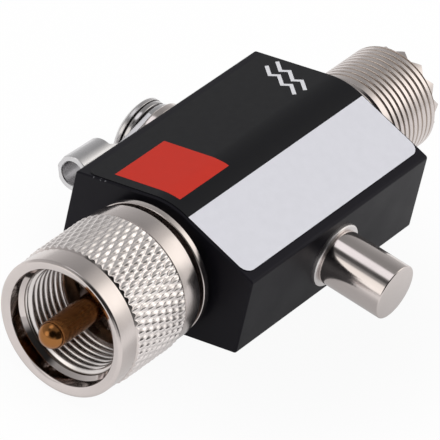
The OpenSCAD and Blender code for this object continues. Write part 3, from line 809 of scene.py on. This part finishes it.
def ground_screw():
    """Pan-head screw with a cross recess and a threaded shank."""
    r, head_r, head_d, head_h, edge, tip = 2.5, 5.15, 18.6, 2.2, 0.65, 8.6
    point_l, point_w, plain, groove = 0.6, 0.4, 0.5, 0.45
    thread_d0, thread_d1, crown_d = tip + point_l, head_d - plain, head_d + head_h
    rise = head_h - edge
    arc_r = (head_r**2 + rise**2) / (2 * rise)
    span, dome_share, brow_share = math.asin(head_r / arc_r), 0.93, 0.94

    def dome(a):
        """Place on the head's dome, at an angle from its middle."""
        return arc_r * math.sin(a), crown_d - arc_r + arc_r * math.cos(a)

    under = fillet([
        dome(span * brow_share), (head_r, head_d + edge, 0.4), (head_r, head_d, 0.08), (r, head_d, 0.1),
        (r, thread_d1),
    ])
    point = fillet([(r, thread_d0), (r - point_w, tip, 0.1), (0, tip)])
    profile = [dome(a) for a in np.linspace(0, span * dome_share, 20)]
    profile += [tuple(p) for p in under] + [tuple(p) for p in point]
    obj = make_object("ground_screw_head", turned(profile, ground_side, 128))
    # Half length and half width of a recess arm, at its foot and above the head
    depth, over, foot_half, mouth_half = 1.4, 0.5, (1.08, 0.456), (2.8, 0.66)
    sides = [[0, 1, 2, 3], [4, 5, 6, 7], [0, 1, 5, 4], [1, 2, 6, 5], [2, 3, 7, 6], [3, 0, 4, 7]]
    cutters = []
    for across in (False, True):
        box = []
        for level, (long_half, short_half) in ((crown_d - depth, foot_half), (crown_d + over, mouth_half)):
            for sx, sz in ((-1, -1), (1, -1), (1, 1), (-1, 1)):
                dx, dz = sx * long_half, sz * short_half
                box.append((BODY_XC + (dz if across else dx), level, dx if across else dz))
        cutters.append((box, sides))
    cut(obj, *cutters)
    dress(obj, "clamp_screw", zinc, "nickel", "ground_screw")
    shank = make_object("ground_screw_thread", thread(
        ground_side, thread_d0, thread_d1, r, r - groove, (r, r), SCREW_PITCH, crest=0.2,
        segments=80, per_turn=10,
    ), flat_faces=False)
    dress(shank, "clamp_screw", zinc, "nickel")


def flat_washer():
    """Plain washer with a chamfered rim, against the body."""
    outer_r, chamfer = 6.0, 0.3
    profile = fillet([
        (CLAMP_HOLE_R, SIDE, 0.06), (outer_r, SIDE, 0.1), (outer_r, WASHER_TOP - chamfer, 0.15),
        (outer_r - chamfer, WASHER_TOP, 0.15), (CLAMP_HOLE_R, WASHER_TOP, 0.06),
    ])
    obj = make_object("flat_washer_turned", turned(profile, ground_side, 128))
    return dress(obj, "housing", polished, "nickel", "flat_washer")


def spring_washer():
    """Split washer, one open turn with a small rise."""
    outer_r, low, thick, rise, gap, soft = 5.1, 17.25, 0.75, 0.6, math.radians(9), 0.14
    section = fillet([
        (CLAMP_HOLE_R, 0, soft), (outer_r, 0, soft), (outer_r, thick, soft), (CLAMP_HOLE_R, thick, soft)
    ], 3)
    steps = 120
    turn = np.linspace(gap / 2, 2 * math.pi - gap / 2, steps + 1)
    lift = low + rise * np.linspace(0, 1, steps + 1)
    rings = [np.stack(ground_side(section[:, 0], section[:, 1] + d, np.full(len(section), a)), -1)
             for a, d in zip(turn, lift)]
    count = len(section)
    faces = grid_faces(steps + 1, count)
    faces.append(list(range(count)))
    faces.append([steps * count + k for k in range(count)])
    obj = make_object("spring_washer_split", (np.concatenate(rings), faces))
    return dress(obj, "washer_carriage", steel, "steel", "spring_washer")


def ring_terminal():
    """Sheet terminal: a flat ring with a neck and a rolled wire barrel, turned a little on the screw."""
    ring_r, hole_r, sheet, under = 5.3, CLAMP_HOLE_R, 0.85, WASHER_TOP
    start, length, axis_d, bore_r = 8.5, 6.6, 18.75, 1.8
    curl_l, curl_h, neck_x, neck_w, soft = 1.7, 0.7, 1.6, 4.3, 0.12
    over, seam_turn, seam_gap, seam_depth = 1.0, math.radians(43), math.radians(2.5), 0.16
    swivel_turn, ease, trough_r = math.radians(2), 0.3 * soft, bore_r + 0.02
    top, barrel_r, far, near = under + sheet, bore_r + sheet, -start - length, curl_l - start
    swivel = Matrix.Translation((BODY_XC * MM, 0, 0)) @ Matrix.Rotation(swivel_turn, 4, "Y")
    swivel = swivel @ Matrix.Translation((-BODY_XC * MM, 0, 0))

    leave = math.acos(-neck_x / ring_r)
    plan = [(ring_r * math.cos(a), ring_r * math.sin(a)) for a in np.linspace(-leave, leave, 97)]
    plan += [(-start, neck_w / 2), (-start, -neck_w / 2)]
    count = len(plan)
    verts = [(BODY_XC + x, d, z) for d in (under, top) for x, z in plan]
    faces = grid_faces(2, count) + [list(range(count)), list(range(count, 2 * count))]
    ring = make_object("ring_terminal_ring", (verts, faces), sharp=40)
    bm = bmesh.new()
    bm.from_mesh(ring.data)
    rims = [e for e in bm.edges if abs(e.verts[0].co.y - e.verts[1].co.y) < 1e-6]
    bmesh.ops.bevel(bm, geom=rims, offset=soft * MM, segments=2, profile=0.5, affect="EDGES")
    bm.to_mesh(ring.data)
    bm.free()
    stud_low, stud_high = under - over, top + over
    stud = turned([(0, stud_low), (hole_r, stud_low), (hole_r, stud_high), (0, stud_high)], ground_side, 96)

    def barrel_side(r, a, turn):
        """Round the barrel's axis: radius, place along X from the screw, angle from the outermost line."""
        return BODY_XC + a + 0 * turn, axis_d + r * np.cos(turn), r * np.sin(turn)

    trough = turned([(0, far), (trough_r, far), (trough_r, near), (0, near)], barrel_side, 96)
    cut(ring, stud, trough, sharp=40)

    turn = np.concatenate([
        [0, seam_gap], np.linspace(seam_turn / 6, seam_turn, 6), np.linspace(seam_turn, math.pi, 30)[1:],
    ])
    turn = np.concatenate([turn, 2 * math.pi - turn[-2:0:-1]])
    off = np.minimum(turn, 2 * math.pi - turn)
    flank = barrel_r * math.cos(seam_turn / 2) / np.cos(np.minimum(off, seam_turn) - seam_turn / 2)
    outer_r = np.where(off < 1e-6, barrel_r - seam_depth, flank)

    def end_x(r):
        """The barrel's end towards the ring: square above the curl, then falling to the neck."""
        d = axis_d + r * np.cos(turn)
        return -start + curl_l * np.clip((top + curl_h - d) / curl_h, 0, 1)

    outer_end, inner_end, level = end_x(outer_r), end_x(bore_r), np.ones(len(turn))
    rows = [
        (outer_r - soft, far * level), (outer_r - ease, (far + ease) * level),
        (outer_r, (far + soft) * level), (outer_r, outer_end - soft), (outer_r - ease, outer_end - ease),
        (outer_r - soft, outer_end), ((bore_r + soft) * level, inner_end), (bore_r * level, inner_end - soft),
        (bore_r * level, (far + soft) * level), ((bore_r + soft) * level, far * level),
    ]
    verts = np.concatenate([np.stack(barrel_side(r, x, turn), -1) for r, x in rows])
    faces = grid_faces(len(rows), len(turn), closed_rows=True)
    barrel = make_object("ring_terminal_barrel", (verts, faces), sharp=20)
    for obj in (ring, barrel):
        obj.data.transform(swivel)
        dress(obj, "terminal", tin, "tin")
    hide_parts("ring_terminal")


# Build

body_shell()
label()
coupling_nut()
plug_collar()
centre_pin()
jack()
cap()
cap_bush()
ground_screw()
flat_washer()
spring_washer()
ring_terminal()

CARRIED_OVER = {
    "plug_shell": nickel,
    "plug_insulator": insulator,
    "line_conductor": brass,
    "contact_post": brass,
    "jack_insulator": insulator,
    "jack_contact": gold,
    "tube_inner_electrode": steel,
    "tube_ceramic": ceramic,
    "tube_outer_electrode": steel,
    "contact_spring": steel,
}
for node, material in CARRIED_OVER.items():
    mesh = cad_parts[node].data
    mesh.materials.clear()
    mesh.materials.append(material)


# Studio


def direction(azimuth, elevation):
    """Unit vector: azimuth from +X towards +Y, elevation above the floor, in degrees."""
    a, e = math.radians(azimuth), math.radians(elevation)
    return (math.cos(a) * math.cos(e), math.sin(a) * math.cos(e), math.sin(e))


# Grey levels from straight down to straight up
SKY = [
    (0.0, 0.8), (0.48, 0.8), (0.51, 0.62), (0.60, 0.56), (0.69, 0.47), (0.79, 0.39), (0.88, 0.33), (1.0, 0.33)
]
WARM, COOL = (1.03, 1.0, 0.94), (0.985, 0.985, 1.03)
# Azimuth, elevation, inner and outer half angle in degrees, added level, tint
SOFT_BOXES = [
    (-33, 35, 3, 24, 0.60, WARM),
    (-33, 35, 5, 45, 0.50, WARM),
    (103, 66, 11, 17, 0.95, COOL),
    (156, 20, 14, 20, 0.85, WARM),
]
# Azimuth, elevation, inner and outer half angle in degrees, level left at the middle
DARK_PLACES = [
    (143, 52, 3, 10, 0.25),
    (206, 38, 20, 36, 0.05),
    (268, 22, 24, 42, 0.08),
]


def studio_world():
    """A grey studio, darker overhead, with soft boxes and dark places such as that round the camera."""
    world = bpy.data.worlds.new("studio")
    bpy.context.scene.world = world
    world.use_nodes = True
    tree = world.node_tree
    way = add_node(tree, "ShaderNodeTexCoord").outputs["Generated"]

    def spot(azimuth, elevation, inner, outer, centre, rim):
        """A value that goes from centre to rim away from a direction, between two half angles."""
        towards = direction(azimuth, elevation)
        dot = add_node(tree, "ShaderNodeVectorMath", {0: way, 1: towards}, operation="DOT_PRODUCT")
        return add_node(tree, "ShaderNodeMapRange", {
            "Value": dot.outputs["Value"],
            "From Min": math.cos(math.radians(outer)),
            "From Max": math.cos(math.radians(inner)),
            "To Min": rim,
            "To Max": centre,
        }, interpolation_type="SMOOTHSTEP").outputs["Result"]

    def combine(operation, a, b):
        return add_node(tree, "ShaderNodeVectorMath", {0: a, 1: b}, operation=operation).outputs["Vector"]

    height = add_node(tree, "ShaderNodeSeparateXYZ", {0: way}).outputs["Z"]
    lift = add_node(tree, "ShaderNodeMapRange", {"Value": height, "From Min": -1.0})
    ramp = add_node(tree, "ShaderNodeValToRGB", {"Fac": lift.outputs["Result"]})
    ramp.color_ramp.elements[0].position = SKY[0][0]
    ramp.color_ramp.elements[1].position = SKY[-1][0]
    for place, _ in SKY[1:-1]:
        ramp.color_ramp.elements.new(place)
    for element, (_, level) in zip(ramp.color_ramp.elements, SKY):
        element.color = rgba(level, level, level)
    total = ramp.outputs["Color"]
    for azimuth, elevation, inner, outer, level, tint in SOFT_BOXES:
        glow = combine("MULTIPLY", spot(azimuth, elevation, inner, outer, level, 0.0), tint)
        total = combine("ADD", total, glow)
    for azimuth, elevation, inner, outer, level in DARK_PLACES:
        total = combine("MULTIPLY", total, spot(azimuth, elevation, inner, outer, level, 1.0))
    plug(tree, tree.nodes["Background"].inputs["Color"], total)


# Share of plain white in the floor, by the kind of ray that meets it; the rest is lit and takes the shadow
FLOOR_WHITE = {"Is Camera Ray": 0.95, "Is Glossy Ray": 0.5, "Is Transmission Ray": 0.5}
# The lit floor's colour near the object and away from it, with the reach of both in metres: a painted shadow,
# dark near the object
FLOOR_NEAR, FLOOR_FAR = (0.08, 0.007), (0.88, 0.038)
# The painted shadow lies towards the cap and is longer along the connector axis
FLOOR_SHIFT, FLOOR_SQUEEZE = 0.012, 0.8


def floor():
    """A pale floor: nearly white to the eye, half white to metal and glass, with a painted shadow that darkens
    it beside the object.
    """
    size, level = 3.0, cad_low.z - 0.0002
    mesh = bpy.data.meshes.new("floor")
    corners = [(-size, -size, level), (size, -size, level), (size, size, level), (-size, size, level)]
    mesh.from_pydata(corners, [], [(0, 1, 2, 3)])
    obj = bpy.data.objects.new("floor", mesh)
    bpy.context.scene.collection.objects.link(obj)
    material = bpy.data.materials.new("floor_white")
    material.use_nodes = True
    tree = material.node_tree
    tree.nodes.remove(tree.nodes["Principled BSDF"])
    place = add_node(tree, "ShaderNodeTexCoord").outputs["Object"]
    squeeze = (FLOOR_SQUEEZE, 1.0, 1.0)
    squeezed = add_node(tree, "ShaderNodeVectorMath", {0: place, 1: squeeze}, operation="MULTIPLY")
    middle = (cad_low + cad_high) / 2
    centre = (FLOOR_SQUEEZE * middle.x, middle.y - FLOOR_SHIFT, level)
    distance = add_node(
        tree, "ShaderNodeVectorMath", {0: squeezed.outputs["Vector"], 1: centre}, operation="DISTANCE"
    )
    # Painted shadow: the lit floor's colour darkens towards the object
    pale = add_node(tree, "ShaderNodeMapRange", {
        "Value": distance.outputs["Value"],
        "From Min": FLOOR_NEAR[1],
        "From Max": FLOOR_FAR[1],
        "To Min": FLOOR_NEAR[0],
        "To Max": FLOOR_FAR[0],
    }, interpolation_type="SMOOTHSTEP")
    diffuse = add_node(tree, "ShaderNodeBsdfDiffuse", {"Color": pale.outputs["Result"]})
    glow = add_node(tree, "ShaderNodeEmission")
    path, share = add_node(tree, "ShaderNodeLightPath"), 0.0
    for ray, white in FLOOR_WHITE.items():
        part = add_node(tree, "ShaderNodeMath", {0: path.outputs[ray], 1: white}, operation="MULTIPLY")
        share = add_node(tree, "ShaderNodeMath", {0: share, 1: part.outputs[0]}, operation="MAXIMUM").outputs[0]
    blend = add_node(tree, "ShaderNodeMixShader", {0: share, 1: diffuse.outputs[0], 2: glow.outputs[0]})
    plug(tree, tree.nodes["Material Output"].inputs["Surface"], blend.outputs[0])
    mesh.materials.append(material)


def overhead_lamp():
    """A large soft lamp above, kept out of the metal's reflections."""
    place, target = Vector((0.0, -0.25, 0.9)), Vector((0.03, 0.0, 0.0))
    lamp = bpy.data.lights.new("overhead", "AREA")
    lamp.size, lamp.energy = 0.9, 7.0
    obj = bpy.data.objects.new("overhead", lamp)
    obj.location = place
    obj.rotation_euler = (target - place).to_track_quat("-Z", "Y").to_euler()
    obj.visible_glossy = False
    bpy.context.scene.collection.objects.link(obj)


def photo_camera():
    """The photograph's camera: a long lens, tilted a little about its own axis."""
    focal_pixels, photo_pixels, sensor = 5361, 440, 36.0
    azimuth, elevation, roll = (math.radians(v) for v in (-61.31, 38.46, 13.46))
    eye = Vector((-476.81, -274.15, 452.89))
    camera = bpy.data.cameras.new("photo_camera")
    camera.sensor_width, camera.lens = sensor, focal_pixels / photo_pixels * sensor
    camera.clip_start, camera.clip_end = 0.01, 20.0
    back = Vector((
        math.sin(azimuth) * math.cos(elevation), -math.cos(azimuth) * math.cos(elevation), math.sin(elevation)
    ))
    right = (-back).cross(Vector((0, 0, 1))).normalized()
    up = right.cross(-back)
    x_axis = math.cos(roll) * right + math.sin(roll) * up
    y_axis = -math.sin(roll) * right + math.cos(roll) * up
    obj = bpy.data.objects.new("photo_camera", camera)
    place = Matrix((x_axis, y_axis, back)).transposed().to_4x4()
    place.translation = eye * MM
    obj.matrix_world = place
    bpy.context.scene.collection.objects.link(obj)
    bpy.context.scene.camera = obj


studio_world()
floor()
overhead_lamp()
photo_camera()
bpy.context.scene.view_settings.view_transform = "Standard"
